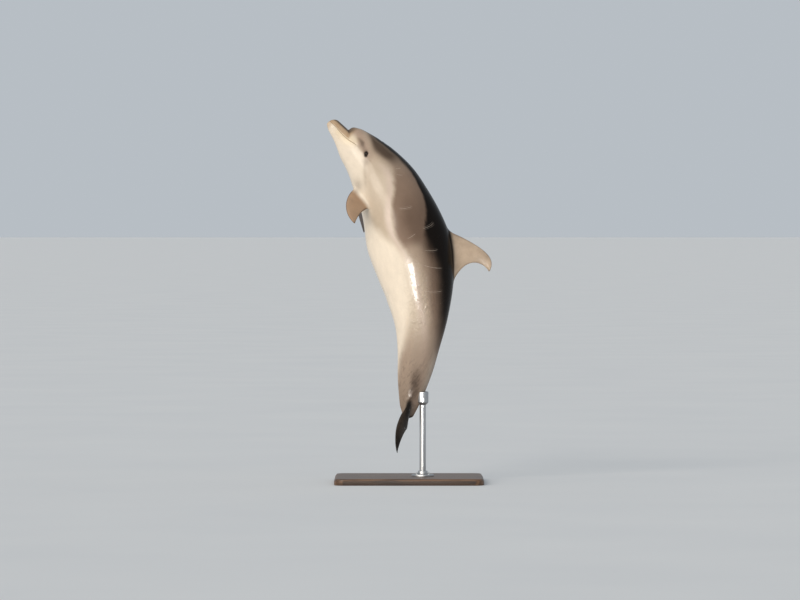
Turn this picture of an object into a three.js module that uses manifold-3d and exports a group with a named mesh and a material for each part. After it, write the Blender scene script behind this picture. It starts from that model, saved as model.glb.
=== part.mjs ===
// A life-size museum model of a bottlenose dolphin, caught upright in a leap, on a plain display stand.
// Units are millimetres and +Z is up. The origin is the centre of the base's underside.
// The belly faces -X, the back faces +X and the animal's left side faces -Y.
import * as THREE from "three";
import { mergeVertices } from "three/addons/utils/BufferGeometryUtils.js";
import Module from "manifold-3d";

const wasm = await Module();
wasm.setup();

// ---------------------------------------------------------------------------------------------
// Driving dimensions
// ---------------------------------------------------------------------------------------------

const GAP = 0.3; // clearance between neighbouring pieces
const AROUND = 36; // facets round the body

// The spine starts between the lips at the beak's tip and runs down to the notch of the flukes.
// A station is the distance along it; its heading is the angle below the horizontal.
const SPINE_START = { x: -558, z: 2519 };
const SPINE_END = 2330; // length, beak tip to fluke notch
const SPINE_HEADING = [
  [0, 41], [200, 44], [400, 52.5], [700, 65], [1000, 73.5], [1300, 82],
  [1600, 90.5], [1800, 96], [2000, 100.5], [2150, 101.5], [2330, 99],
];

// Heights of the back above the spine and depths of the belly below it, [station, mm].
const BACK = [
  [120, 68], [140, 82], [180, 108], [230, 128], [330, 162], [400, 184], [500, 213], [600, 238],
  [700, 255], [800, 270], [900, 285], [1000, 297], [1100, 296], [1200, 284], [1300, 267],
  [1400, 246], [1600, 194], [1800, 145], [1900, 129], [2000, 111], [2100, 89], [2200, 64],
  [2330, 20],
];
const BELLY = [
  [0, 34], [60, 55], [120, 78], [180, 107], [240, 133], [300, 148], [400, 174], [500, 200], [600, 217],
  [700, 230], [800, 250], [900, 271], [1000, 283], [1100, 279], [1200, 263], [1300, 243],
  [1400, 218], [1500, 193], [1600, 168], [1700, 149], [1800, 136], [1900, 124], [2000, 106],
  [2100, 80], [2200, 50], [2330, 12],
];
const HALF_WIDTH = [
  [0, 36], [60, 45], [100, 51], [140, 60], [200, 82], [250, 104], [300, 122], [340, 134],
  [400, 149], [500, 168], [600, 184], [700, 198], [800, 211], [900, 222], [1000, 229],
  [1100, 229], [1200, 223], [1300, 211], [1400, 195], [1500, 176], [1600, 154], [1700, 130],
  [1800, 106], [1900, 83], [2000, 61], [2100, 42], [2200, 27], [2330, 10],
];
// 1 is an ellipse; more draws the back and belly out into the keels of the tail stock.
const KEEL = [[0, 0.9], [300, 0.96], [700, 1], [1300, 1], [1700, 1.12], [2000, 1.4], [2330, 1.5]];

// The beak is lower than the forehead: its top runs level to the crease where the melon rises.
const BEAK_TOP = 51;
const CREASE = 131;
const MELON_RISE = 9; // length over which the melon's front face stands up
const TIP_START = -8; // station of the beak's very tip, which the lower jaw makes
const TIP_ROUND = 50; // length of the beak's rounded tip
const TIP_DROP = 11; // the tip lies this far below the spine, because the lower jaw juts out

// The lengths that the body is parted into, by station.
const HEAD_END = 420;
const NECK_END = 560;
const CHEST_END = 960;
const TRUNK_END = 1420;
const LOIN_END = 1760;
const STOCK_END = 2250;
const JAW_END = 262;

// The closed mouth seen from the side, [station, height above the spine], lip to corner.
const MOUTH = [[-20, 13], [20, 10], [60, 7], [130, -1], [198, 3], [241, 13]];

const EYE = { station: 339, height: 21, radius: 17, sunk: 11 };
const BLOWHOLE = { station: 350, length: 26, width: 46, depth: 12 };

// Fins: leading and trailing edge as cubic curves, root to tip, and the blade's thickness.
const DORSAL_FIN = {
  lead: [[232, 0, 1790], [396, 0, 1696], [645, 0, 1610], [562, 0, 1477]],
  trail: [[286, 0, 1330], [350, 0, 1580], [500, 0, 1575], [560, 0, 1476]],
  thick: 38, tipThick: 9, flare: 42,
};
const LEFT_FLIPPER = {
  lead: [[-352, -40, 2080], [-465, -120, 2010], [-460, -300, 1880], [-378, -380, 1814]],
  trail: [[-262, -95, 1930], [-322, -190, 1905], [-352, -290, 1880], [-374, -378, 1815]],
  thick: 30, tipThick: 9, flare: 26,
};
const RIGHT_FLIPPER = {
  lead: [[-352, 40, 2080], [-415, 120, 2010], [-354, 290, 1880], [-319, 372, 1750]],
  trail: [[-255, 95, 1930], [-285, 180, 1868], [-298, 280, 1810], [-315, 370, 1752]],
  thick: 30, tipThick: 9, flare: 26,
};
const FLUKE = {
  lead: [[52, 15, 622], [-4, -60, 560], [-138, -215, 400], [-82, -300, 222]],
  trail: [[6, 15, 384], [-4, -90, 410], [-60, -215, 330], [-81, -297, 224]],
  thick: 30, tipThick: 8, flare: 10,
};

const BASE = { length: 1040, width: 820, height: 45, corner: 70, bevel: 6 };
const ROD = { x: 96, radius: 22 };
const FLANGE = { radius: 78, height: 14 };
const BOLT = { radius: 9, height: 7, circle: 58, count: 4 };
const CUP = { radius: 40, bottom: 545, top: 636, bevel: 5 };

// ---------------------------------------------------------------------------------------------
// Colours and finishes
// ---------------------------------------------------------------------------------------------

const finish = (color, roughness, metalness = 0) =>
  new THREE.MeshStandardMaterial({ color, roughness, metalness });

const SKIN = finish(0xa08d78, 0.3);
const PALE_SKIN = finish(0xe8dccb, 0.32);
const DARK_SKIN = finish(0x4a4038, 0.28);
const EYE_GLASS = finish(0x120d0a, 0.08);
const DARK_WOOD = finish(0x3b2a20, 0.45);
const STEEL = finish(0xa8a9ab, 0.35, 1);

// ---------------------------------------------------------------------------------------------
// Curves and the body's surface
// ---------------------------------------------------------------------------------------------

// A natural cubic spline through [station, value] pairs, with straight ends.
function smoothCurve(knots) {
  const n = knots.length;
  const x = knots.map((k) => k[0]);
  const y = knots.map((k) => k[1]);
  const bend = new Array(n).fill(0);
  const upper = new Array(n).fill(0);
  for (let i = 1; i < n - 1; i++) {
    const before = x[i] - x[i - 1];
    const after = x[i + 1] - x[i];
    const pull = 6 * ((y[i + 1] - y[i]) / after - (y[i] - y[i - 1]) / before);
    const pivot = 2 * (before + after) - before * upper[i - 1];
    upper[i] = after / pivot;
    bend[i] = (pull - before * bend[i - 1]) / pivot;
  }
  for (let i = n - 2; i > 0; i--) bend[i] -= upper[i] * bend[i + 1];
  return (at) => {
    let i = 0;
    while (i < n - 2 && at > x[i + 1]) i++;
    const h = x[i + 1] - x[i];
    const a = (x[i + 1] - at) / h;
    const b = (at - x[i]) / h;
    const curve = ((a ** 3 - a) * bend[i] + (b ** 3 - b) * bend[i + 1]) * h * h / 6;
    return a * y[i] + b * y[i + 1] + curve;
  };
}

const heading = smoothCurve(SPINE_HEADING);
const backHeight = smoothCurve(BACK);
const bellyDepth = smoothCurve(BELLY);
const halfWidth = smoothCurve(HALF_WIDTH);
const keel = smoothCurve(KEEL);

// The spine's points, one for each millimetre, from its heading.
const SPINE = [{ ...SPINE_START }];
for (let s = 0; s < SPINE_END + 20; s++) {
  const angle = THREE.MathUtils.degToRad(heading(s + 0.5));
  const last = SPINE[s];
  SPINE.push({ x: last.x + Math.cos(angle), z: last.z - Math.sin(angle) });
}

// The point that lies `height` above the spine and `side` to the animal's right.
function fromSpine(station, side, height) {
  const i = Math.min(Math.max(Math.floor(station), 0), SPINE.length - 2);
  const rest = station - i;
  const angle = THREE.MathUtils.degToRad(heading(station));
  const x = SPINE[i].x + Math.cos(angle) * rest + Math.sin(angle) * height;
  const z = SPINE[i].z - Math.sin(angle) * rest + Math.cos(angle) * height;
  return new THREE.Vector3(x, side, z);
}

const power = (value, exponent) => Math.sign(value) * Math.abs(value) ** exponent;

// A point of the skin: angle 0 is the back, a half turn is the belly.
function skinPoint(station, angle, grow = 0) {
  const near = Math.min((station - TIP_START) / TIP_ROUND, 1);
  const tip = Math.sqrt(Math.max(1 - (1 - near) ** 2, 0));
  const melon = THREE.MathUtils.smoothstep(station, CREASE, CREASE + MELON_RISE);
  const back = THREE.MathUtils.lerp(BEAK_TOP, backHeight(Math.max(station, 120)), melon);
  const top = (back + TIP_DROP) * tip - TIP_DROP;
  const bottom = (bellyDepth(station) - TIP_DROP) * tip + TIP_DROP;
  const middle = (top - bottom) / 2 * (1 - tip);
  const reach = Math.cos(angle) > 0 ? top - middle : bottom + middle;
  const side = halfWidth(station) * tip * power(Math.sin(angle), keel(station));
  return fromSpine(
    station,
    side + grow * Math.sin(angle),
    middle + reach * Math.cos(angle) + grow * Math.cos(angle),
  );
}

// ---------------------------------------------------------------------------------------------
// Solids
// ---------------------------------------------------------------------------------------------

// A closed solid through rings of equal length, with each end capped by a fan, faces outward.
function loft(rings) {
  const round = rings[0].length;
  const points = rings.flat();
  const triangles = [];
  for (let r = 0; r + 1 < rings.length; r++) {
    for (let k = 0; k < round; k++) {
      const a = r * round + k;
      const b = r * round + (k + 1) % round;
      triangles.push([a, b, a + round], [b, b + round, a + round]);
    }
  }
  const cap = (first, turn) => {
    const centre = new THREE.Vector3();
    for (let k = 0; k < round; k++) centre.add(points[first + k]);
    points.push(centre.divideScalar(round));
    for (let k = 0; k < round; k++) {
      const edge = [first + (k + 1) % round, first + k];
      triangles.push(turn ? [edge[1], edge[0], points.length - 1] : [...edge, points.length - 1]);
    }
  };
  cap(0, false);
  cap((rings.length - 1) * round, true);
  let volume = 0;
  for (const [a, b, c] of triangles) {
    volume += points[a].dot(new THREE.Vector3().crossVectors(points[b], points[c]));
  }
  if (volume < 0) triangles.forEach((t) => t.reverse());
  return new wasm.Manifold(new wasm.Mesh({
    numProp: 3,
    vertProperties: new Float32Array(points.flatMap((p) => p.toArray())),
    triVerts: new Uint32Array(triangles.flat()),
  }));
}

// A closed three.js geometry as a solid for joining and cutting.
function solidOf(geometry) {
  const plain = geometry.clone();
  plain.deleteAttribute("normal");
  plain.deleteAttribute("uv");
  const merged = mergeVertices(plain, 1e-3);
  const index = merged.index.array;
  return new wasm.Manifold(new wasm.Mesh({
    numProp: 3,
    vertProperties: new Float32Array(merged.attributes.position.array),
    triVerts: new Uint32Array(index),
  }));
}

// The result of joining and cutting, back as a geometry.
function geometryOf(solid) {
  const mesh = solid.getMesh();
  const geometry = new THREE.BufferGeometry();
  const position = new Float32Array(mesh.numVert * 3);
  for (let v = 0; v < mesh.numVert; v++) {
    for (let k = 0; k < 3; k++) position[v * 3 + k] = mesh.vertProperties[v * mesh.numProp + k];
  }
  geometry.setAttribute("position", new THREE.BufferAttribute(position, 3));
  geometry.setIndex(new THREE.BufferAttribute(new Uint32Array(mesh.triVerts), 1));
  geometry.computeVertexNormals();
  return geometry;
}

// Stations from one end to the other, no further apart than `step` except as rounding needs.
function stations(from, to, step) {
  const count = Math.max(1, Math.round((to - from) / step));
  return Array.from({ length: count + 1 }, (_, i) => from + (to - from) * i / count);
}

// The body's flesh between two stations.
function bodyLength(marks, grow = 0) {
  return loft(marks.map((s) => Array.from({ length: AROUND }, (_, k) =>
    skinPoint(s, 2 * Math.PI * k / AROUND, grow))));
}

// A slab through the whole width of the animal, over an outline given by station and height.
function sideSlab(outline) {
  const points = outline.map(([s, h]) => fromSpine(s, 0, h));
  const shape = new THREE.Shape(points.map((p) => new THREE.Vector2(p.x, p.z)));
  const slab = new THREE.ExtrudeGeometry(shape, { depth: 400, bevelEnabled: false });
  slab.rotateX(Math.PI / 2).translate(0, 200, 0);
  return solidOf(slab);
}

// A blade lofted over foil sections, from its root inside the body to its tip.
function blade({ lead, trail, thick, tipThick, flare }, sections = 9, round = 20) {
  const curve = (p) => new THREE.CubicBezierCurve3(...p.map((q) => new THREE.Vector3(...q)));
  const front = curve(lead);
  const rear = curve(trail);
  const middle = (t) => front.getPoint(t).add(rear.getPoint(t)).multiplyScalar(0.5);
  const rings = [];
  for (let i = 0; i <= sections; i++) {
    const t = 1 - (1 - i / sections) ** 1.35;
    const start = front.getPoint(t);
    const chord = rear.getPoint(t).sub(start);
    const span = middle(Math.min(t + 0.02, 1)).sub(middle(Math.min(t + 0.02, 1) - 0.04));
    const across = new THREE.Vector3().crossVectors(chord, span).normalize();
    const full = THREE.MathUtils.lerp(thick, tipThick, t ** 0.8) + flare * Math.exp(-t / 0.09);
    const ring = [];
    for (let k = 0; k < round; k++) {
      const turn = 2 * Math.PI * k / round;
      const u = (1 - Math.cos(turn)) / 2;
      const foil = 0.2969 * Math.sqrt(u) - 0.126 * u - 0.3516 * u ** 2 + 0.2843 * u ** 3
        - 0.1036 * u ** 4;
      const edge = 1.2 * Math.sqrt(Math.sin(Math.PI * u));
      const half = Math.sign(Math.sin(turn)) * (5 * foil * full + edge);
      const place = start.clone().addScaledVector(chord, u);
      ring.push(place.addScaledVector(across, k === 0 || 2 * k === round ? 0 : half));
    }
    rings.push(ring);
  }
  return loft(rings);
}

const mirrored = (fin) => ({
  ...fin,
  lead: fin.lead.map(([x, y, z]) => [x, -y, z]),
  trail: fin.trail.map(([x, y, z]) => [x, -y, z]),
});

// ---------------------------------------------------------------------------------------------
// The scene graph
// ---------------------------------------------------------------------------------------------

const model = new THREE.Group();
const animal = new THREE.Group();
const stand = new THREE.Group();
model.add(animal, stand);

function addPiece(group, name, solid, material) {
  const mesh = new THREE.Mesh(geometryOf(solid), material);
  mesh.name = name;
  group.add(mesh);
  return mesh;
}

// Stations of the rings, closer where the shape turns quickly.
const FACE_MARKS = [
  -7.5, -5, 2, 12, 25, 42, 72, 104, 130, 135, 141, 158, 184, 208, 238, 272, 308, 344, 382,
  HEAD_END,
];
const inset = (marks) => marks.map((s, i) =>
  s + (i === 0 ? GAP / 2 : i === marks.length - 1 ? -GAP / 2 : 0));
const LENGTHS = {
  neck: stations(HEAD_END, NECK_END, 47),
  chest: stations(NECK_END, CHEST_END, 57),
  trunk: stations(CHEST_END, TRUNK_END, 51),
  loin: stations(TRUNK_END, LOIN_END, 57),
  tail_stock: stations(LOIN_END, STOCK_END, 45),
};

// The whole body a gap larger, which cuts whatever is set against it.
const bodyMarks = [...FACE_MARKS];
for (const marks of Object.values(LENGTHS)) bodyMarks.push(...marks.slice(1));
const envelope = bodyLength(bodyMarks, GAP);

// Head: the two jaws meet at the closed mouth, and the melon rises behind the beak's crease.
const face = bodyLength([...FACE_MARKS.slice(0, -1), HEAD_END - GAP / 2]);
const below = MOUTH.map(([s, h]) => [s, h - GAP / 2]);
const above = MOUTH.slice(0, 4).map(([s, h]) => [s, h + GAP / 2]);
const beakRear = MOUTH[3][0];
const lowerJaw = (grow) => sideSlab([
  ...below.map(([s, h]) => [s, h + grow]),
  [JAW_END + grow, -60], [JAW_END + 30 + grow, -260], [-20, -260],
]);
const upperJaw = (grow) => sideSlab([
  ...above.slice(0, 3).map(([s, h]) => [s, h - grow]),
  [beakRear + grow, above[3][1] - grow], [beakRear + grow, 160], [-20, 160],
]);

const eyeSide = halfWidth(EYE.station) * Math.sqrt(1 - (EYE.height / backHeight(EYE.station)) ** 2);
const ball = (side, grow) => {
  const geometry = new THREE.SphereGeometry(EYE.radius + grow, 14, 10);
  const centre = fromSpine(EYE.station, side * (eyeSide - EYE.sunk), EYE.height);
  return solidOf(geometry.translate(centre.x, centre.y, centre.z));
};

const nostril = (() => {
  const slot = new THREE.SphereGeometry(1, 14, 8);
  slot.scale(BLOWHOLE.length / 2, BLOWHOLE.width / 2, BLOWHOLE.depth);
  slot.rotateY(THREE.MathUtils.degToRad(heading(BLOWHOLE.station) - 18));
  const centre = fromSpine(BLOWHOLE.station, 0, backHeight(BLOWHOLE.station));
  return solidOf(slot.translate(centre.x, centre.y, centre.z));
})();

addPiece(animal, "beak_upper", face.intersect(upperJaw(0)), DARK_SKIN);
addPiece(animal, "beak_lower", face.intersect(lowerJaw(0)), PALE_SKIN);
const headSolid = face
  .subtract(upperJaw(GAP))
  .subtract(lowerJaw(GAP))
  .subtract(ball(-1, GAP))
  .subtract(ball(1, GAP))
  .subtract(nostril);
addPiece(animal, "head", headSolid, SKIN);
addPiece(animal, "eye_left", ball(-1, 0), EYE_GLASS);
addPiece(animal, "eye_right", ball(1, 0), EYE_GLASS);

// Neck, chest, trunk, loin and tail stock: plain lengths of the body.
for (const [name, marks] of Object.entries(LENGTHS)) {
  addPiece(animal, name, bodyLength(inset(marks)), SKIN);
}

// Fins, each shaped to the body where it grows out of it.
addPiece(animal, "dorsal_fin", blade(DORSAL_FIN).subtract(envelope), SKIN);
addPiece(animal, "flipper_left", blade(LEFT_FLIPPER).subtract(envelope), DARK_SKIN);
addPiece(animal, "flipper_right", blade(RIGHT_FLIPPER).subtract(envelope), DARK_SKIN);

// The flukes meet at the middle plane, where each one's root is trimmed flat.
const farHalf = (side) => {
  const block = new THREE.BoxGeometry(600, 200, 900);
  return solidOf(block.translate(0, side * (GAP / 2 - 100), SPINE[SPINE_END].z + 150));
};
const leftFluke = blade(FLUKE, 11).subtract(envelope).subtract(farHalf(-1));
const rightFluke = blade(mirrored(FLUKE), 11).subtract(envelope).subtract(farHalf(1));
addPiece(animal, "fluke_left", leftFluke, DARK_SKIN);
addPiece(animal, "fluke_right", rightFluke, DARK_SKIN);

// Stand: a wooden base, a bolted steel flange, a rod, and a cup shaped to the tail stock.
const plate = new THREE.Shape();
const cornerAt = (x, y, from) => plate.absarc(x, y, BASE.corner, from, from + Math.PI / 2, false);
const alongX = BASE.length / 2 - BASE.corner;
const alongY = BASE.width / 2 - BASE.corner;
cornerAt(alongX, alongY, 0);
cornerAt(-alongX, alongY, Math.PI / 2);
cornerAt(-alongX, -alongY, Math.PI);
cornerAt(alongX, -alongY, 1.5 * Math.PI);
plate.closePath();
const board = new THREE.ExtrudeGeometry(plate, {
  depth: BASE.height - 2 * BASE.bevel,
  bevelThickness: BASE.bevel,
  bevelSize: BASE.bevel,
  bevelOffset: -BASE.bevel,
  bevelSegments: 1,
  curveSegments: 5,
});
board.translate(0, 0, BASE.bevel);
addPiece(stand, "stand_base", solidOf(board), DARK_WOOD);

// A turned piece on the rod's axis, from its half outline of [radius, height].
function turned(outline, x, y, facets = 24) {
  const profile = outline.map(([r, z]) => new THREE.Vector2(r, z));
  const geometry = new THREE.LatheGeometry(profile, facets);
  return solidOf(geometry.rotateX(Math.PI / 2).translate(x, y, 0));
}

const flangeFoot = BASE.height + GAP;
const flangeTop = flangeFoot + FLANGE.height;
const rodFoot = flangeTop + GAP;
addPiece(stand, "stand_flange", turned([
  [0, flangeFoot], [FLANGE.radius, flangeFoot], [FLANGE.radius, flangeTop - 3],
  [FLANGE.radius - 3, flangeTop], [0, flangeTop],
], ROD.x, 0), STEEL);
for (let i = 0; i < BOLT.count; i++) {
  const angle = Math.PI / 4 + 2 * Math.PI * i / BOLT.count;
  const x = ROD.x + BOLT.circle * Math.cos(angle);
  const y = BOLT.circle * Math.sin(angle);
  addPiece(stand, "stand_bolt_" + (i + 1), turned([
    [0, rodFoot], [BOLT.radius, rodFoot], [BOLT.radius, rodFoot + BOLT.height - 2],
    [BOLT.radius - 2, rodFoot + BOLT.height], [0, rodFoot + BOLT.height],
  ], x, y, 6), STEEL);
}
const cup = turned([
  [0, CUP.bottom], [ROD.radius + 4, CUP.bottom], [CUP.radius, CUP.bottom + 16],
  [CUP.radius, CUP.top - CUP.bevel], [CUP.radius - CUP.bevel, CUP.top], [0, CUP.top],
], ROD.x, 0);
addPiece(stand, "stand_cup", cup.subtract(envelope), STEEL);
addPiece(stand, "stand_rod", turned([
  [0, rodFoot], [ROD.radius, rodFoot], [ROD.radius, CUP.bottom - GAP], [0, CUP.bottom - GAP],
], ROD.x, 0), STEEL);

export default model;
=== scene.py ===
"""A life-size museum model of a bottlenose dolphin, caught upright in a leap, on a plain display stand.

The frame is in metres and +Z is up. The belly faces -X, the back +X and the animal's left side -Y.
Body sizes are in millimetres along the spine until the skin becomes a mesh.
"""
import math

import bmesh
import bpy
import numpy as np
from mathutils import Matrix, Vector


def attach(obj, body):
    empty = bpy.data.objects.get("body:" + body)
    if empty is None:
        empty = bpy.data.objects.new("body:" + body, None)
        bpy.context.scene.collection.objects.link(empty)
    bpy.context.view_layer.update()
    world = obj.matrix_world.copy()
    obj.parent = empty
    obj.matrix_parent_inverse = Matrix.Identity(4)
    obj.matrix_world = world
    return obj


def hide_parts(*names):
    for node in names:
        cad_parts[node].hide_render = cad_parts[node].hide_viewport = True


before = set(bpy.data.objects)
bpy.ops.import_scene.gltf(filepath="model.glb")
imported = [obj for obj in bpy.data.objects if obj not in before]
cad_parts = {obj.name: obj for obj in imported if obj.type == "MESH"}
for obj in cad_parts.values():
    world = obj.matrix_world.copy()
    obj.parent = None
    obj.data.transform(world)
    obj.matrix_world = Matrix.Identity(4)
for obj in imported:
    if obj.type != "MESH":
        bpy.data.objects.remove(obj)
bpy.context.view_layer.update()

# ---- Body ----
# A smooth spindle of muscle and blubber under a tight, hairless skin, laid out as rings along a curved
# spine, from the beak's tip to the notch of the flukes.
SPINE_START = -558, 2519  # x and z of the beak's tip
SPINE_END = 2330
AROUND = 152  # points round each ring, even so that the two sides mirror each other
EYE_STATION, EYE_HEIGHT, EYE_RADIUS, EYE_SUNK = 339, 21, 17, 11
EYE_GIRTH = 142  # radius of the head at the eye, to turn angles into millimetres
BLOWHOLE = 350


def smooth_curve(*knots):
    """A natural cubic spline through station, value, station, value and so on."""
    x, y = np.array(knots, float).reshape(-1, 2).T
    count, gap = len(x), np.diff(x)
    system, pull = np.eye(count), np.zeros(count)
    for i in range(1, count - 1):
        system[i, i - 1:i + 2] = gap[i - 1], 2 * (gap[i - 1] + gap[i]), gap[i]
        pull[i] = 6 * ((y[i + 1] - y[i]) / gap[i] - (y[i] - y[i - 1]) / gap[i - 1])
    bend = np.linalg.solve(system, pull)

    def curve(at):
        at = np.asarray(at, float)
        i = np.clip(np.searchsorted(x, at) - 1, 0, count - 2)
        a, b = (x[i + 1] - at) / gap[i], (at - x[i]) / gap[i]
        bow = (a**3 - a) * bend[i] + (b**3 - b) * bend[i + 1]
        return a * y[i] + b * y[i + 1] + bow * gap[i]**2 / 6

    return curve


def ramp(value, low, high):
    """0 below low, 1 above high, and an even S between."""
    t = np.clip((value - low) / (high - low), 0, 1)
    return t * t * (3 - 2 * t)


def fall(value, low, high):
    return 1 - ramp(value, low, high)


def band(value, low, rise, drop, high):
    """1 from rise to drop, and 0 outside low and high."""
    return ramp(value, low, rise) * fall(value, drop, high)


def hump(value, middle, spread):
    return np.exp(-((value - middle) / spread)**2)


def unit(vectors):
    return vectors / np.maximum(np.linalg.norm(vectors, axis=-1, keepdims=True), 1e-9)


def wrapped(angle):
    return (angle + np.pi) % (2 * np.pi) - np.pi


spine_heading = smooth_curve(
    0, 41, 200, 44, 400, 52.5, 700, 65, 1000, 73.5, 1300, 82, 1600, 90.5, 1800, 96, 2000, 100.5, 2150, 101.5,
    2330, 99)
back_height = smooth_curve(
    120, 68, 140, 82, 180, 108, 230, 128, 330, 162, 400, 184, 500, 213, 600, 238, 700, 255, 800, 270,
    900, 285, 1000, 297, 1100, 296, 1200, 284, 1300, 267, 1400, 246, 1600, 194, 1800, 145, 1900, 129,
    2000, 111, 2100, 89, 2200, 64, 2330, 20)
belly_depth = smooth_curve(
    0, 34, 60, 55, 120, 78, 180, 107, 240, 133, 300, 148, 400, 174, 500, 200, 600, 217, 700, 230, 800, 250,
    900, 271, 1000, 283, 1100, 279, 1200, 263, 1300, 243, 1400, 218, 1500, 193, 1600, 168, 1700, 149,
    1800, 136, 1900, 124, 2000, 106, 2100, 80, 2200, 50, 2330, 12)
half_width = smooth_curve(
    0, 36, 60, 45, 100, 51, 140, 60, 200, 82, 250, 104, 300, 122, 340, 134, 400, 149, 500, 168, 600, 184,
    700, 198, 800, 211, 900, 222, 1000, 229, 1100, 229, 1200, 223, 1300, 211, 1400, 195, 1500, 176,
    1600, 154, 1700, 130, 1800, 106, 1900, 83, 2000, 61, 2100, 42, 2200, 27, 2330, 10)
keel = smooth_curve(0, 0.9, 300, 0.96, 700, 1, 1300, 1, 1700, 1.12, 2000, 1.4, 2330, 1.5)

turns = np.radians(spine_heading(np.arange(SPINE_END + 20) + 0.5))
spine_x = SPINE_START[0] + np.concatenate([[0], np.cumsum(np.cos(turns))])
spine_z = SPINE_START[1] - np.concatenate([[0], np.cumsum(np.sin(turns))])


def from_spine(station, side, height):
    """The point at `height` above the spine, and `side` to the animal's right."""
    i = np.clip(np.floor(station).astype(int), 0, len(spine_x) - 2)
    rest, turn = station - i, np.radians(spine_heading(station))
    x = spine_x[i] + np.cos(turn) * rest + np.sin(turn) * height
    z = spine_z[i] - np.sin(turn) * rest + np.cos(turn) * height
    return np.stack([x, side + 0 * x, z], -1)


# The beak's top runs level to a crease, which sweeps back down each cheek, and behind it stands the
# melon's blunt front. The closed lips run as one line round both sides.
BEAK_TOP, BEAK_TIP_HEIGHT = 51, -11
MOUTH_CORNER = 241
mouth_height = smooth_curve(-20, 13, 20, 10, 60, 7, 130, -1, 198, 3, MOUTH_CORNER, 13)


def crease(angle):
    return 131 + 52 * np.sin(angle)**2


def section(station, angle):
    """Side and height of the plain body at an angle from the back, with no relief on it."""
    nose = np.sqrt(np.maximum(1 - (1 - np.minimum((station + 8) / 50, 1))**2, 0))
    stub = np.sqrt(np.maximum(1 - np.maximum((station - 2304) / 26, 0)**2, 0))
    melon = 1 - (1 - ((station - crease(angle)) / (26 + 50 * np.sin(angle)**2)).clip(0, 1))**3
    back = BEAK_TOP + (back_height(np.maximum(station, 120)) - BEAK_TOP) * melon
    top = (back - BEAK_TIP_HEIGHT) * nose + BEAK_TIP_HEIGHT
    bottom = (belly_depth(station) + BEAK_TIP_HEIGHT) * nose - BEAK_TIP_HEIGHT
    bottom = bottom * (1 - 0.75 * ramp(station, 2170, 2325))
    top = top * (1 - 0.3 * ramp(station, 2240, 2325))
    middle = (top - bottom) / 2 * (1 - nose)
    cosine, sine = np.cos(angle), np.sin(angle)
    reach = np.where(cosine > 0, top - middle, bottom + middle)
    side = half_width(station) * nose * np.sign(sine) * abs(sine)**keel(station)
    return side * stub, (middle + reach * cosine) * stub


def mouth_distance(station, height):
    """Height above the lips' line, or the distance from its corner behind it."""
    across = height - mouth_height(np.minimum(station, MOUTH_CORNER))
    return np.hypot(across, np.maximum(station - MOUTH_CORNER, 0)) * np.where(across < 0, -1, 1)


eye_angle = math.acos(EYE_HEIGHT / float(back_height(EYE_STATION)))
eye_side = float(half_width(EYE_STATION)) * math.sin(eye_angle)


def relief(station, angle, height):
    """How far the skin stands proud of the plain body."""
    angle = abs(wrapped(angle))
    degrees = np.degrees(angle)
    # Lips: a narrow groove with a soft roll on each side, ending in a small pit at the corner.
    lips = mouth_distance(station, height)
    out = -3.4 * hump(lips, 0, 1.9) * (1 - 0.9 * ramp(station, 232, 250))
    out += (1.2 * hump(lips, 6.5, 4.5) + 1.6 * hump(lips, -7, 5)) * fall(station, 170, 240)
    out -= 1.6 * hump(station, 246, 7) * hump(height, 15, 6)
    out += 2.2 * hump(station, 262, 14) * hump(height, 8, 14)
    # Crease between beak and melon, and the melon's full brow.
    out -= 3.0 * hump(station, crease(angle) + 1, 4.5) * fall(degrees, 30, 78)
    out += 1.5 * hump(station, 200, 36) * hump(degrees, 0, 42)
    # A shallow hollow runs from the mouth's corner under the eye, and the eye sits on a swelling.
    along, across = station - EYE_STATION, (angle - eye_angle) * EYE_GIRTH
    out += 4.2 * hump(along, 0, 27) * hump(across, 0, 21)
    out -= 2.4 * hump(along, -58, 26) * hump(across, -8, 20)
    out -= 1.8 * hump(station, 398, 4) * hump(across, 3, 4)
    # The throat's two faint folds, where the neck bends.
    for fold in (452, 486):
        bent = fold + 16 * np.cos(angle) + 4 * np.sin(5 * angle)
        out -= 1.1 * hump(station, bent, 5) * ramp(degrees, 95, 140)
    # Blowhole's saddle on the crown.
    out -= 3.5 * hump(station, BLOWHOLE, 26) * hump(degrees, 0, 10)
    # Hollow behind each flipper, and the long muscles that part along the tail stock.
    out -= 5 * hump(station, 742, 34) * hump(degrees, 130, 9)
    out -= 4.5 * hump(degrees, 86, 17) * band(station, 1480, 1720, 2040, 2130)
    out -= 2.6 * hump(degrees, 150, 12) * band(station, 1560, 1700, 1900, 2050)
    # Navel, genital slit and vent along the belly's middle.
    below = (np.pi - angle) * 210
    out -= 3 * hump(station, 1068, 13) * hump(below, 0, 11)
    out -= 4.5 * hump(station, 1440, 42)**1.6 * hump(below, 0, 6)
    out += 2.4 * hump(station, 1440, 50) * hump(below, 15, 8)
    out -= 3.5 * hump(station, 1556, 10) * hump(below, 0, 7)
    # No two hand spans of a live flank are quite even.
    swell = np.sin(station / 41 + 3 * angle) + np.sin(station / 67 - 4 * angle + 1)
    swell += np.sin(station / 97 + 7 * angle + 2) * 0.7
    return out + 0.5 * swell * band(station, 380, 620, 2000, 2200)


def plain_point(station, angle):
    """A point of the bare form, with the melon's front pushed over the crease."""
    side, height = section(station, angle)
    behind = station - crease(angle)
    overhang = 2 * band(behind, 0, 14, 14, 60) * np.maximum(np.cos(angle), 0)**2
    tuck = 50 * ramp(station, 2232, 2330)  # the stock ends short of the flukes' hind edges, at the notch
    return from_spine(station - overhang - tuck, side, height), height


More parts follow.
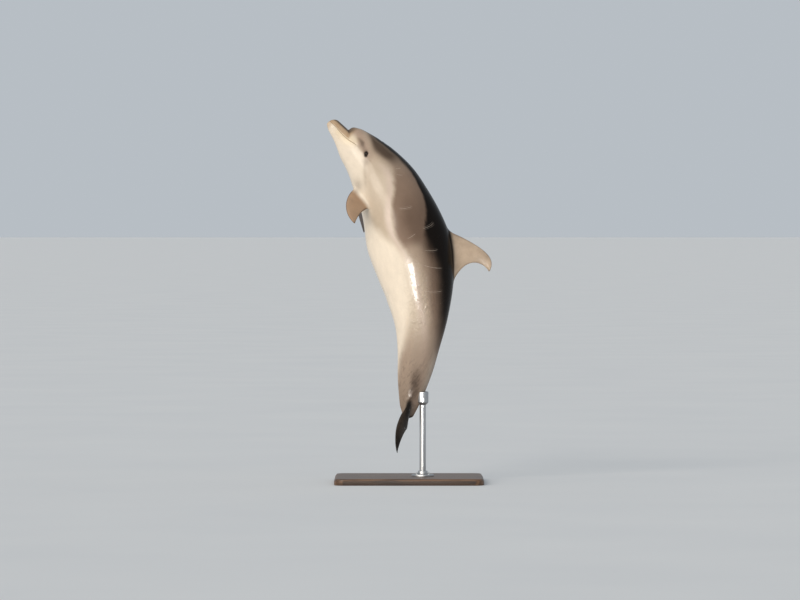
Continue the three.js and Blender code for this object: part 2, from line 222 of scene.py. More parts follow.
def skin_point(station, angle):
    """A point of the finished skin, and its outward normal."""
    station, angle = np.broadcast_arrays(np.asarray(station, float), np.asarray(angle, float))
    point, height = plain_point(station, angle)
    along = plain_point(station + 0.5, angle)[0] - plain_point(station - 0.5, angle)[0]
    across = plain_point(station, angle + 0.004)[0] - plain_point(station, angle - 0.004)[0]
    out = unit(np.cross(along, across))
    return point + out * relief(station, angle, height)[..., None], out


# Rings lie a few millimetres apart on the head, and a finger's width apart along the body.
ring_gap = smooth_curve(42, 2.4, 250, 2.8, 420, 3.6, 680, 7, 900, 8.4, 2000, 8.4, 2330, 5.4)
ring_marks = list(-8 + 50 * (1 - np.cos(np.linspace(0, np.pi / 2, 37)[1:])))
while ring_marks[-1] < 2304:
    ring_marks.append(ring_marks[-1] + float(ring_gap(ring_marks[-1])))
ring_marks.pop()
ring_marks += list(ring_marks[-1] + (SPINE_END - ring_marks[-1]) * np.sin(np.linspace(0, np.pi / 2, 9)[1:-1]))
ring_marks = np.array(ring_marks)
RINGS = len(ring_marks)
grid_turn, grid_station = np.meshgrid(2 * np.pi * np.arange(AROUND) / AROUND, ring_marks)

# Lines crowd towards the sides of the head, and one line on each side lies exactly on the lips.
LIP_LINE, LIP_PULL = 36, math.radians(48)  # the line's number, and how far round it draws others
crowd = 0.35 * fall(grid_station, 380, 620)
grid_angle = grid_turn + crowd / 2 * np.sin(2 * grid_turn)
trial = np.radians(np.linspace(30, 125, 191))
at = np.clip(ring_marks, 12, MOUTH_CORNER)
heights = section(at[:, None], trial[None, :])[1]
lip_angle = np.array([np.interp(-float(mouth_height(s)), -h, trial) for s, h in zip(at, heights)])
for side in (1, -1):
    line = grid_angle if side == 1 else 2 * np.pi - grid_angle
    home = line[:, side * LIP_LINE][:, None]
    shift = (lip_angle[:, None] - home) * fall(grid_station, MOUTH_CORNER + 4, 330)
    off = line - home
    pull = shift * (0.5 + 0.5 * np.cos(np.pi * np.clip(off / LIP_PULL, -1, 1)))
    gather = 0.5 * hump(off, 0, 0.26) * fall(grid_station, 150, MOUTH_CORNER + 40)
    grid_angle += side * np.where(abs(off) < LIP_PULL, pull - off * gather, 0)

missing = np.zeros((RINGS, AROUND), bool)  # cells that a fin, an eye or the blowhole takes over


def open_patch(station, length, degrees, width, slant=0.0, reach=2.2):
    """Clears an oval of the skin, `length` by `width` degrees from its middle, and gives its rim.

    The grid round it is drawn to the oval, which turns by `slant` degrees for each millimetre. The rim
    is a list of (ring, line), with the turn of each from the front.
    """
    first, middle, final = (int(np.argmin(abs(ring_marks - station - d))) for d in (-length, 0, length))
    line = grid_angle[middle] - 2 * np.pi * (grid_angle[middle] > np.pi)
    centre = int(np.argmin(abs(line - math.radians(degrees))))
    half = max(2, int(round(width / math.degrees(abs(line[(centre + 1) % AROUND] - line[centre - 1]) / 2))))
    lines = (np.arange(AROUND) - centre + AROUND // 2) % AROUND - AROUND // 2
    p = (grid_station - ring_marks[first]) / (ring_marks[final] - ring_marks[first]) * 2 - 1
    q = lines / half + 0 * p
    out = np.maximum(abs(p), abs(q)).clip(1)
    hold = fall(out, 1, reach)
    round_p = p * np.sqrt(1 - (q / out)**2 / 2)
    round_q = q * np.sqrt(1 - (p / out)**2 / 2)
    to_station = station + length * round_p
    to_angle = math.radians(degrees) + np.radians(slant * length * round_p + width * round_q)
    near = out < reach
    turned = wrapped(to_angle - grid_angle)
    grid_station[near] += (hold * (to_station - grid_station))[near]
    grid_angle[near] += (hold * turned)[near]
    missing[first:final] |= (lines >= -half) & (lines < half)
    rim = [(first, k) for k in range(0, half)] + [(i, half) for i in range(first, final)]
    rim += [(final, k) for k in range(half, -half, -1)] + [(i, -half) for i in range(final, first, -1)]
    rim += [(first, k) for k in range(-half, 0)]
    rim = [(i, (centre + k) % AROUND) for i, k in rim]
    return rim, np.array([math.atan2(round_q[spot], -round_p[spot]) for spot in rim])


eye_patch = {side: open_patch(EYE_STATION, 27, side * math.degrees(eye_angle), 9.6) for side in (-1, 1)}
blowhole_patch = open_patch(BLOWHOLE, 27, 0, 10.5)
FIN_ROOTS = {  # station, half length, angle, half width, slant
    "dorsal": (1178, 196, 0, 11.5, 0),
    "flipper_left": (588, 124, -148, 12.5, 0.1),
    "flipper_right": (609, 130, 146, 12.5, -0.09),
    "fluke_left": (2202, 106, -86, 42, 0),
    "fluke_right": (2202, 106, 86, 42, 0),
}
fin_patch = {name: open_patch(*root) for name, root in FIN_ROOTS.items()}

skin_points, _ = skin_point(grid_station, grid_angle)
skin_normals = unit(np.cross(np.gradient(skin_points, axis=0),
                             np.roll(skin_points, -1, 1) - np.roll(skin_points, 1, 1)))

# The skin is gathered here: every point's place, and what the markings need to know about it.
points, faces = [], []
facts = {name: [] for name in ("station", "angle", "dorsal", "flipper", "fluke", "span", "chord", "lid")}


def add_points(where, **known):
    first = sum(len(p) for p in points)
    points.append(where)
    for name, store in facts.items():
        store.append(np.broadcast_to(np.asarray(known.get(name, 0), float), len(where)).copy())
    return list(range(first, first + len(where)))


def join_rings(rings, **end):
    """Faces from each ring to the next, and a fan from the last to its end point."""
    for one, two in zip(rings, rings[1:]):
        for k in range(len(one)):
            after = (k + 1) % len(one)
            faces.append((one[k], one[after], two[after], two[k]))
    last, middle = [*rings[-1], rings[-1][0]], add_points(**end)[0]
    faces.extend((one, two, middle) for one, two in zip(last, last[1:]))


add_points(skin_points.reshape(-1, 3), station=grid_station.ravel(), angle=grid_angle.ravel())
for i in range(RINGS - 1):
    here, there = i * AROUND, (i + 1) * AROUND
    for j in np.flatnonzero(~missing[i]):
        k = (j + 1) % AROUND
        faces.append((here + j, there + j, there + k, here + k))
join_rings([range(AROUND)], where=from_spine(np.array([-8.0]), 0, np.array([BEAK_TIP_HEIGHT])), station=-8)
join_rings([range((RINGS - 1) * AROUND, RINGS * AROUND)],
           where=plain_point(np.array([float(SPINE_END)]), np.array([0.0]))[0], station=SPINE_END)


def rim_facts(rim):
    """The ids, stations and signed angles of a patch's rim."""
    rows, lines = np.array(rim).T
    return list(rows * AROUND + lines), grid_station[rows, lines], wrapped(grid_angle[rows, lines])


# ---- Eyelids and blowhole ----
# Thick lids of bare skin close round each eye in an almond, with fine folds, and line its socket. The
# blowhole is a crescent slit with a raised lip, closed in a leap.
LID_LENGTH, LID_UPPER, LID_LOWER = 15.5, 7.4, 8.2  # from the middle
LID_STEPS = 0.12, 0.23, 0.34, 0.44, 0.53, 0.61, 0.68, 0.74, 0.8, 0.86, 0.91, 0.96, 1.0, 1.03, 1.06
SOCKET_RADIUS = EYE_RADIUS + 0.5
eye_centre, eye_axis = {}, {}
for side, (rim, turn) in eye_patch.items():
    ids, station, angle = rim_facts(rim)
    centre = from_spine(np.array(EYE_STATION), side * (eye_side - EYE_SUNK), np.array(EYE_HEIGHT))
    axis = skin_point(EYE_STATION, side * eye_angle)[1]
    eye_centre[side], eye_axis[side] = centre, axis
    u, v = station - EYE_STATION, (abs(angle) - eye_angle) * EYE_GIRTH
    bearing = np.arctan2(v, -u)
    sine = np.sin(bearing)
    margin_u = -LID_LENGTH * np.cos(bearing)
    margin_v = np.where(sine < 0, LID_UPPER, LID_LOWER) * np.sign(sine) * abs(sine)**1.2 + 0.06 * margin_u
    rings = [ids]
    for step in LID_STEPS:
        at_u = u + (margin_u - u) * min(step, 1) - margin_u * max(step - 1, 0)
        at_v = v + (margin_v - v) * min(step, 1) - margin_v * max(step - 1, 0) * 2.2
        turn = side * (eye_angle + at_v / EYE_GIRTH)
        where, out = skin_point(EYE_STATION + at_u, turn)
        folds = 0.7 * hump(step, 0.67, 0.08) - 0.9 * hump(step, 0.56, 0.06) - 0.8 * hump(step, 0.79, 0.05)
        where = where + out * folds
        towards = unit(where - centre)
        snug = centre + towards * (EYE_RADIUS + 2.1 - 1.9 * ramp(step, 0.99, 1.06))
        hug = ramp(step, 0.4, 0.97)
        rings.append(add_points(where * (1 - hug) + snug * hug, station=EYE_STATION + at_u, lid=step, angle=turn))
    lining = {"station": EYE_STATION, "angle": side * eye_angle, "lid": 1.4}
    for step in (0.12, 0.3, 0.52, 0.76):
        rings.append(add_points(centre + unit(towards * (1 - step) - axis * step) * SOCKET_RADIUS, **lining))
    join_rings(rings, where=(centre - axis * SOCKET_RADIUS)[None], **lining)

CROWN_WIDTH = 136  # radius of the crown at the blowhole
SLIT, GAPE = 20, 1.7
LIP_ROLL = [(0.15, 0, 1), (0.3, 0, 1), (0.44, 0.3, 1), (0.56, 0.9, 1), (0.67, 1.5, 1), (0.77, 1.7, 1),
            (0.86, 1.3, 1), (0.94, 0.4, 1), (1, -1.2, 1), (1, -4, 0.6), (1, -9, 0.4)]
ids, station, angle = rim_facts(blowhole_patch[0])
u, v = station - BLOWHOLE, angle * CROWN_WIDTH
bearing = np.arctan2(v, -u)
edge_v = SLIT * np.sin(bearing)
bow = 6 * (1 - (edge_v / SLIT)**2) - 3
rings = [ids]
for step, lift, squeeze in LIP_ROLL:
    at_u = u + (bow - GAPE * squeeze * np.cos(bearing) - u) * step
    at_v = v + (edge_v * (0.9 + 0.1 * squeeze) - v) * step
    where, out = skin_point(BLOWHOLE + at_u, at_v / CROWN_WIDTH)
    rings.append(add_points(where + out * lift, station=BLOWHOLE + at_u, angle=at_v / CROWN_WIDTH,
                            lid=0.8 * ramp(step, 0.7, 1) + 0.5 * (lift < -1)))
where, out = skin_point(np.array([BLOWHOLE + 3.0]), np.array([0.0]))
join_rings(rings, where=where - out * 9.5, station=BLOWHOLE, lid=1.3)

# ---- Fins ----
# Blades of tough fibrous tissue under the same skin, round in front and thin behind. Each is lofted
# between its leading and trailing edge, and its root flows into the body as a fillet.
FINS = {  # leading and trailing edge, thickness at root and tip, flare, where the root ends, notch
    "dorsal": ([(232, 0, 1790), (396, 0, 1696), (645, 0, 1610), (562, 0, 1477)],
               [(286, 0, 1330), (350, 0, 1580), (500, 0, 1575), (560, 0, 1476)], 38, 9, 42, 0.27, 0),
    "flipper_left": ([(-352, -40, 2080), (-465, -120, 2010), (-460, -300, 1880), (-378, -380, 1814)],
                     [(-262, -95, 1930), (-322, -190, 1905), (-352, -290, 1880), (-374, -378, 1815)],
                     30, 9, 26, 0.24, 0),
    "flipper_right": ([(-352, 40, 2080), (-415, 120, 2010), (-354, 290, 1880), (-319, 372, 1750)],
                      [(-255, 95, 1930), (-285, 180, 1868), (-298, 280, 1810), (-315, 370, 1752)],
                      30, 9, 26, 0.28, 0),
    "fluke_left": ([(52, -15, 622), (-4, -60, 560), (-138, -215, 400), (-82, -300, 222)],
                   [(6, -15, 384), (-4, -90, 410), (-60, -215, 330), (-81, -297, 224)], 30, 8, 10, 0.33, 0.9),
}
lead, trail, *rest = FINS["fluke_left"]
FINS["fluke_right"] = ([(x, -y, z) for x, y, z in lead], [(x, -y, z) for x, y, z in trail], *rest)
FILLET, BLADE = 12, 34  # rings in a fin's root and on its blade


def bezier(knots, t):
    a, b, c, d = np.array(knots, float)
    return (1 - t)**3 * a + 3 * (1 - t)**2 * t * b + 3 * (1 - t) * t * t * c + t**3 * d


def foil_ring(fin, t, turn):
    """A closed foil section of the blade, `turn` going round it from its leading edge."""
    lead, trail, thick, tip, flare = fin[:5]
    start, stop = bezier(lead, t), bezier(trail, t)
    later = min(t + 0.02, 1)
    span = sum(bezier(edge, later) - bezier(edge, later - 0.04) for edge in (lead, trail))
    across = unit(np.cross(stop - start, span))
    full = thick + (tip - thick) * t**0.8 + flare * math.exp(-t / 0.09)
    u = (1 - np.cos(turn)) / 2
    foil = 0.2969 * np.sqrt(u) - 0.126 * u - 0.3516 * u**2 + 0.2843 * u**3 - 0.1036 * u**4
    edge = 1.2 * np.sqrt(np.maximum(np.sin(np.pi * u), 0))
    half = np.sign(np.sin(turn)) * (5 * foil * full + edge)
    half *= math.sqrt(max(1 - max((t - 0.95) / 0.052, 0)**2, 0))
    return start + (stop - start) * u[:, None] + across * half[:, None]


for name, fin in FINS.items():
    rim, turn = fin_patch[name]
    ids, station, angle = rim_facts(rim)
    rows, lines = np.array(rim).T
    foot, out = skin_points[rows, lines], skin_normals[rows, lines]
    free, notch = fin[5:]
    if abs(foil_ring(fin, free, turn) - foot).sum() > abs(foil_ring(fin, free, -turn) - foot).sum():
        turn = -turn
    chord = (1 - np.cos(turn)) / 2
    head = foil_ring(fin, free, turn)
    rise = unit(foil_ring(fin, free + 0.02, turn) - foil_ring(fin, free - 0.02, turn))
    gap = head - foot
    length = np.linalg.norm(gap, axis=-1, keepdims=True)
    flat = unit(gap - out * (gap * out).sum(-1, keepdims=True))
    ease = (1 - notch * ramp(chord, 0.55, 0.95))[:, None]  # no fold beside the notch
    handle_foot = foot + (flat * 0.42 * ease + gap / length * 0.3 * (1 - ease)) * length
    handle_head = head - rise * length * (0.32 + 0.18 * ease)
    kind = name.split("_")[0]
    about = {"station": station, "angle": angle, "chord": chord}
    rings = [ids]
    for w in np.arange(1, FILLET + 1) / FILLET:
        where = bezier([foot, handle_foot, handle_head, head], w)
        rings.append(add_points(where, span=free * w, **about, **{kind: w}))
    for k in range(1, BLADE + 1):
        t = free + (1 - free) * (1 - (1 - k / BLADE)**1.6)
        rings.append(add_points(foil_ring(fin, t, turn), span=t, **about, **{kind: 1}))
    peak = (bezier(fin[0], 1) + bezier(fin[1], 1)) / 2
    join_rings(rings, where=peak[None], span=1, station=float(station.mean()), chord=0.5, **{kind: 1})


# ---- Skin ----
# One closed surface over the whole animal, tight and hairless, with its markings worked out from where
# each point lies along and around the body.
def put(name, data):
    """Places a mesh, a lamp or a camera in the scene."""
    made = bpy.data.objects.new(name, data)
    bpy.context.scene.collection.objects.link(made)
    return made


def new_piece(name, places, sides, slot, *nodes):
    """A mesh with its faces turned outwards, which stands for its CAD nodes."""
    mesh = bpy.data.meshes.new(name)
    mesh.from_pydata(np.asarray(places).tolist(), [], sides)
    shell = bmesh.new()
    shell.from_mesh(mesh)
    bmesh.ops.recalc_face_normals(shell, faces=shell.faces)
    shell.to_mesh(mesh)
    shell.free()
    mesh.shade_smooth()
    declare(put(name, mesh), slot, *nodes)
    return mesh


def declare(piece, slot, *nodes):
    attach(piece, "root")
    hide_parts(*nodes)


places = np.concatenate(points)
used = np.zeros(len(places), bool)
used[np.concatenate([np.ravel(f) for f in faces])] = True
renumbered = np.cumsum(used) - 1
places = places[used]
facts = {name: np.concatenate(store)[used] for name, store in facts.items()}
skin = new_piece("dolphin_skin", places / 1000, [[int(renumbered[v]) for v in face] for face in faces], "skin",
                 *"beak_upper beak_lower head neck chest trunk loin tail_stock dorsal_fin".split(),
                 "flipper_left", "flipper_right", "fluke_left", "fluke_right")

# Markings are measured in millimetres along the skin: how far each point lies inside the dark cape, which
# also carries painted shade on the back turned from the light, the brown field below it, and the tan flank
# above the cream belly. Edges are in degrees from the back.
cape_edge = smooth_curve(
    120, -8, 230, 4, 270, 14, 300, 23, 350, 27, 450, 28, 520, 27, 600, 29, 700, 33, 760, 36, 850, 46,
    900, 52, 950, 58, 1000, 62, 1050, 63, 1110, 60, 1200, 53, 1300, 49, 1400, 45, 1500, 41, 1600, 36,
    1700, 29, 1800, 19, 1900, 7, 2000, 0, 2330, -4)
field_edge = smooth_curve(
    120, -30, 180, -4, 215, 18, 246, 36, 275, 47, 302, 56, 335, 65, 360, 69, 390, 69, 430, 67, 500, 63,
    560, 67, 620, 75.5, 700, 87, 760, 95, 820, 100, 870, 102, 940, 101, 1000, 98, 1060, 95, 1120, 91,
    1200, 86, 1320, 84, 1450, 80, 1600, 69, 1750, 58, 2330, 50)
flank_edge = smooth_curve(
    120, 40, 150, 52, 200, 66, 240, 82, 300, 90, 350, 95, 400, 105, 450, 114, 500, 121, 550, 127, 600, 133,
    680, 140, 760, 142, 800, 139, 850, 132, 900, 125, 950, 118, 1000, 110, 1060, 103, 1150, 99, 1300, 101,
    1400, 103, 1500, 107, 1600, 113, 1700, 122, 1780, 132, 1850, 143, 1950, 158, 2050, 172, 2330, 190)
station = facts["station"]
angle = np.degrees(abs(wrapped(facts["angle"])))
girth = (half_width(station) + (back_height(np.maximum(station, 120)) + belly_depth(station)) / 2) / 2
reach = girth * np.pi / 180


def past(low, high):
    return ramp(station, low, high)


cape, field, flank = ((edge(station) - angle) * reach for edge in (cape_edge, field_edge, flank_edge))
lips = mouth_distance(station, section(station, np.radians(angle))[1])
eye_girth = (angle - math.degrees(eye_angle) - 0.5) * math.radians(EYE_GIRTH)
bridle_line = np.interp(station, [205, 240, 266, 286, 306, 335], [63, 65, 68.5, 73, 78, 82])
bridle_depth = np.interp(station, [198, 240, 268, 292, 308, 326, 348], [0, 0.8, 1, 0.6, 0.5, 0.95, 0])
upper_jaw = ramp(lips, -2, 6) * fall(angle, 78, 96) + 0.6 * fall(station, 8, 42)
facing = np.array([v.vector[:] for v in skin.vertex_normals])[:, 1] * np.sign(places[:, 1])
marks = {
    "along": station,
    "around": angle * reach,
    "cape": cape,
    "field": field,
    "flank": flank,
    "cape_soft": 19 + 14 * fall(station, 500, 640) + 42 * past(900, 1130) - 20 * past(1650, 1900),
    "field_soft": 22 + 22 * fall(station, 480, 700) + 45 * past(1060, 1300),
    "thin": past(1000, 1090) * ramp(angle, 60, 84),
    "lips": abs(lips),
    "ridge": fall(angle, 26 + 6 * past(20, 110), 54) * past(4, 26),
    "beak": upper_jaw.clip(0, 1) * fall(station, 126 + 40 * np.sin(np.radians(angle)), 190),
    "melon": band(station, 132, 175, 335, 430) * ramp(flank, -6, 26),
    "crown": band(station, 175, 325, 400, 590) * ramp(field, -16, 60),
    "bridle": hump(angle * reach, bridle_line * reach, np.interp(station, [205, 270], [9, 19])) * bridle_depth,
    "throat_line": hump(station, 378, 26) * hump(angle, 94, 8)
                   + 0.6 * hump(flank, 2, 12) * band(station, 370, 400, 480, 560),
    "smudge": hump(station, 484, 52) * hump(angle, 142, 14),
    "eye_rim": np.hypot((station - 341 - eye_girth) / 17, (station - 341 + eye_girth) / 25),
    "tail": past(1480, 1850) * (1 - 0.9 * ramp(-flank, -30, 60)),
    "tail_end": past(1900, 2170),
    "midline": hump(angle, 80 - 4 * past(2000, 2090), 22) * past(1800, 2020),
    "tail_top": fall(angle, 26, 62) * (0.25 + 0.75 * ramp(angle, 3, 19)) * band(station, 1730, 1880, 2040, 2180),
    "inner": ramp(-facing, -0.1, 0.35) * facts["flipper"],
    **{name: facts[name] for name in ("dorsal", "flipper", "fluke", "span", "chord", "lid")},
}


def mark(mesh, name, values):
    mesh.attributes.new(name, "FLOAT", "POINT").data.foreach_set("value", np.asarray(values, np.float32))


for name, values in marks.items():
    mark(skin, name, values)


class Tone:
    """A node's value that sums can be written with."""

    def __init__(self, nodes, socket):
        self.nodes, self.socket = nodes, socket

    def sum(self, operation, *others):
        return self.nodes.add("Math", dict(enumerate([self, *others])), operation=operation)

    def __add__(self, other): return self.sum("ADD", other)
    def __sub__(self, other): return self.sum("SUBTRACT", other)
    def __rsub__(self, other): return self * -1 + other
    def __mul__(self, other): return self.sum("MULTIPLY", other)
    def __truediv__(self, other): return self.sum("DIVIDE", other)
    def __pow__(self, other): return self.sum("POWER", other)
    def __abs__(self): return self.sum("ABSOLUTE")
    __radd__, __rmul__ = __add__, __mul__

    def rise(self, low, high, bottom=0, top=1):
        """`bottom` below low, `top` above high, with an even S between."""
        limits = {"From Min": low, "From Max": high, "To Min": bottom, "To Max": top}
        return self.nodes.add("MapRange", {"Value": self, **limits}, interpolation_type="SMOOTHSTEP")

    def peak(self, middle, spread):
        """1 at the middle, falling smoothly to 0 at the spread on each side."""
        return abs(self - middle).rise(0, spread, 1, 0)


class Nodes:
    """A node tree, and one way to add any node to it."""

    def __init__(self, tree):
        self.tree = tree

    def add(self, kind, inputs, output=0, family="Shader", **settings):
        made = self.tree.nodes.new(family + "Node" + kind)
        for key, value in settings.items():
            setattr(made, key, value)
        for key, value in inputs.items():
            if isinstance(value, Tone):
                self.tree.links.new(value.socket, made.inputs[key])
            else:
                made.inputs[key].default_value = value
        return Tone(self, made.outputs[output])


class Finish(Nodes):
    """A material with a Principled shader, and the nodes that vary it."""

    def __init__(self, name, **fixed):
        self.material = bpy.data.materials.new(name)
        self.material.use_nodes = True
        super().__init__(self.material.node_tree)
        self.shader = self.tree.nodes["Principled BSDF"].inputs
        for socket, value in fixed.items():
            self.shader[socket.replace("_", " ")].default_value = value
        self.place = self.add("TexCoord", {}, "Object")

    def fact(self, name):
        return self.add("Attribute", {}, "Fac", attribute_name=name)

    def noise(self, scale, detail=3, roughness=0.5, at=None):
        """Soft noise, from -1 to 1."""
        grain = {"Vector": at or self.place, "Scale": scale, "Detail": detail, "Roughness": roughness}
        return (self.add("TexNoise", grain) - 0.5) * 2.6

    def stretch(self, scale, at=None):
        return self.add("Mapping", {"Vector": at or self.place, "Scale": scale}, "Vector")

    def sideways(self):
        return self.add("SeparateXYZ", {"Vector": self.place}, "Y")

    def blend(self, share, one, two, how="MIX"):
        one, two = (c if isinstance(c, Tone) else (*c, 1) for c in (one, two))
        return self.add("Mix", {0: share, 6: one, 7: two}, 2, data_type="RGBA", blend_type=how)

    def paint(self, share, colour, how="MIX"):
        """Lays a colour over what is painted."""
        self.tint = self.blend(share, self.tint, colour, how)

    def feed(self, **sockets):
        for socket, tone in sockets.items():
            self.tree.links.new(tone.socket, self.shader[socket.replace("_", " ")])

    def bump(self, height, depth, strength=1):
        return self.add("Bump", {"Height": height, "Distance": depth, "Strength": strength})


# Skin finish: hand-painted pigment under a wet gloss. Cream below, tan flanks, a brown field and a
# near-black cape, darkened past its own colour with painted shade on the back turned from the light; edges
# feather along the body, and pale rake marks cross the flank.
CREAM = 0.76, 0.655, 0.53
TAN = 0.49, 0.39, 0.29
PINK = 0.6, 0.475, 0.395
BROWN = 0.205, 0.135, 0.095
DEEP_BROWN = 0.115, 0.07, 0.047
HEAD_BROWN = 0.045, 0.026, 0.017
# the cape's own dark brown, made near-black with painted shade of the back turned from the light
CAPE_AND_SHADE = 0.006, 0.0038, 0.0025
MELON = 0.37, 0.265, 0.2
JAW_YELLOW = 0.74, 0.59, 0.39
BEAK_TAN = 0.44, 0.295, 0.175
BEAK_RIDGE_SHADE = 0.06, 0.048, 0.04
GREY_BROWN = 0.14, 0.1, 0.072
TAIL_BROWN = 0.285, 0.208, 0.156
STREAK = 0.085, 0.056, 0.039
TAIL_PAINTED_LIGHT = 0.5, 0.41, 0.33
FIN_TAN = 0.5, 0.385, 0.285
FLIPPER_BROWN = 0.43, 0.275, 0.17
FLUKE_DARK = 0.014, 0.0105, 0.008
SHADE_GREY = 0.055, 0.052, 0.055
EYE_DARK = 0.02, 0.014, 0.011
SCAR = 0.66, 0.55, 0.46

wet = Finish("wet_skin", Roughness=0.25, IOR=1.16, Coat_Roughness=0.17, Coat_IOR=1.45)
fact, noise, paint = wet.fact, wet.noise, wet.paint
along, around, side_way = fact("along"), fact("around"), wet.sideways()
grain = wet.add("CombineXYZ", {"X": along / 1400, "Y": around / 260, "Z": side_way * 4})
flow = noise(7, 4, at=grain)
cloud, mottle, speck, blotch = noise(4.5, 3), noise(17, 4, 0.6), noise(90, 3, 0.6), noise(9, 3, 0.55)


def inside(name, drift, spread):
    """How far a point is inside a marking, whose edge the drift makes uneven."""
    return ((fact(name) + drift) / spread).rise(-1, 1)


belly_side = inside("flank", flow * 14 + cloud * 10, 46)
field = inside("field", flow * 7 + mottle * 4 + blotch * along.rise(430, 800, 26, 15), fact("field_soft"))
# how far a point lies inside the cape, which also places the painted shade along the back
cape = 1 - (1 - inside("cape", flow * 9 + mottle * 6 + cloud * 6 + blotch * 9, fact("cape_soft"))) ** 2
wet.tint = CREAM
paint(belly_side * along.rise(1150, 1350, 1, 0.8) * (1 - along.peak(590, 190) * 0.28), TAN)
paint(fact("field").peak(-28, 46) * belly_side * along.rise(400, 560, 0.1, 0.7), PINK)
brown = wet.blend(fact("field").rise(10, 115) * along.rise(620, 900), BROWN, DEEP_BROWN)
paint(field * along.rise(160, 280, 0.3, 1) * along.rise(400, 620, 0.52, 0.95) * (1 - fact("thin") * 0.45), brown)

# Tail: the colours run together into one brown, darkest along the middle of each side, and the top of the
# stock is lightened with painted light.
tail = fact("tail")
runs = noise(20, 4, 0.65, at=grain)
paint(tail * (0.85 + cloud * 0.12), TAIL_BROWN)
# The cape is painted near-black: its own dark pigment plus painted shade on the back turned from the light.
paint(cape * (1 - tail * 0.72), CAPE_AND_SHADE)
# Painted light: the top of the tail stock is lightened with a painted sheen, as if lit from the back's side.
paint(fact("tail_top") * (0.62 + flow * 0.2), TAIL_PAINTED_LIGHT)
paint(fact("tail_end") * (0.5 + mottle * 0.12), GREY_BROWN)
paint((runs * 0.9 + mottle * 0.5).rise(-0.1, 0.6) * along.rise(1650, 2000) * 0.42, STREAK)
paint((fact("midline") * (0.85 + runs * 0.5 + mottle * 0.3)).rise(0, 1), STREAK)

# Head: grey-tan melon, a dark beak ridge partly in painted shade, orange-tan upper lip, and a grey bridle
# down to the eye.
crown = (fact("crown") * (1.1 + cloud * 0.3)).rise(0, 1)
beak, lips = fact("beak"), fact("lips")
paint(fact("melon") * (1 - field) * (0.85 + mottle * 0.15), MELON)
paint(crown * (1 - cape) * 0.86, HEAD_BROWN)
paint(beak * (0.9 + mottle * 0.15), BEAK_TAN)
# Painted shade: the top of the beak is darkened as if turned from the light, over its own darker tone.
paint((fact("ridge") + mottle * 0.1) * (beak * 0.85), BEAK_RIDGE_SHADE)
paint((fact("bridle") * (1 + mottle * 0.2)).rise(0.05, 1.05) * 0.85, GREY_BROWN)
paint(fact("throat_line") * (0.3 + flow * 0.15), GREY_BROWN)
paint(fact("smudge") * (0.42 + mottle * 0.2), GREY_BROWN)
paint(lips.rise(1, 8, 0.35, 0) * along.rise(60, 130, 0.2, 1), BEAK_TAN)
jaw = along.rise(30, 100) * along.rise(190, 270, 1, 0) * (1 - beak)
paint(lips.rise(4, 64, 0.62, 0) * jaw, JAW_YELLOW)
paint(lips.rise(0.4, 2.2, 1, 0) * along.rise(20, 240, 0.35, 0.75), HEAD_BROWN)
rim = (fact("eye_rim") + mottle * 0.08).rise(0.8, 1.5, 0.98, 0)
paint(rim, EYE_DARK)
paint(fact("lid").rise(0.93, 1.02), EYE_DARK)

# Fins: a lit tan dorsal fin, brown flippers with a dark hem and painted shade on their inner faces, and
# flukes almost black with a painted sheen across the middle of each blade.
chord, span = fact("chord"), fact("span")
hem = (chord.peak(0, 0.06) + chord.peak(1, 0.11) + span.rise(0.93, 1)).sum("MINIMUM", 1)
fin = wet.blend((blotch * 0.5 + mottle * 0.4 + 0.4).rise(0, 1.1) * 0.6, FIN_TAN, GREY_BROWN)
paint((fact("dorsal") + flow * 0.06).rise(0.18, 0.62), wet.blend(hem * 0.3, fin, HEAD_BROWN))
paddle = wet.blend((cloud * 0.35 + mottle * 0.35 + 0.3).rise(0, 1) * 0.5, FLIPPER_BROWN, GREY_BROWN)
# Painted shade: each flipper's face turned towards the body is darkened grey as if in shadow.
paddle = wet.blend(fact("inner") * 0.9, paddle, SHADE_GREY)
paint((fact("flipper") + mottle * 0.08).rise(0.35, 0.95), wet.blend(hem * 0.65, paddle, HEAD_BROWN))
fluke = (fact("fluke") + along.rise(2190, 2310) + mottle * 0.08).rise(0.06, 0.75)
# The lighter middle of each blade is a painted sheen of light, mixed with random mottling.
fluke_mottle_and_sheen = (mottle * 0.5 + flow * 0.4 + span.peak(0.55, 0.4) * 0.8).rise(0.1, 1.2) * 0.3
paint(fluke, wet.blend(fluke_mottle_and_sheen, FLUKE_DARK, GREY_BROWN))

# Scars: parallel rake marks left by other dolphins' teeth, in one list for each flank, each from one
# station and girth to another, with its width; and a scatter of pale flecks and dark freckles.
RAKES = {
    -1: [(784, 352, 804, 262, 15), (998, 404, 978, 338, 12), (966, 290, 950, 182, 15),
         (1104, 322, 1122, 216, 12), (1200, 338, 1246, 186, 10), (1374, 310, 1390, 168, 12),
         (533, 190, 545, 150, 7), (566, 214, 592, 184, 7)],
    1: [(700, 240, 772, 300, 13), (905, 180, 930, 300, 12), (1180, 330, 1232, 236, 13),
        (1420, 120, 1500, 170, 11), (610, 330, 640, 280, 8)],
}
TOOTH_GAP = 9.5
scars = None
for side, rakes in RAKES.items():
    here = (side_way * side).rise(0, 0.02)
    for x0, y0, x1, y1, spread in rakes:
        length = math.hypot(x1 - x0, y1 - y0)
        ux, uy = (x1 - x0) / length, (y1 - y0) / length
        run = (along * ux + around * uy - (x0 * ux + y0 * uy)) / length
        bow = (run - 0.5) * (run - 0.5) * (length * 0.26)
        off = along * -uy + around * ux - (y0 * ux - x0 * uy) + mottle * 3 + bow
        lines = (off * (2 * math.pi / TOOTH_GAP)).sum("COSINE").rise(0.45, 1)
        score = lines * off.peak(0, spread) * run.rise(0, 0.18) * run.rise(0.8, 1, 1, 0) * here
        scars = score if scars is None else scars + score
scars = scars * (0.75 + speck * 0.5)


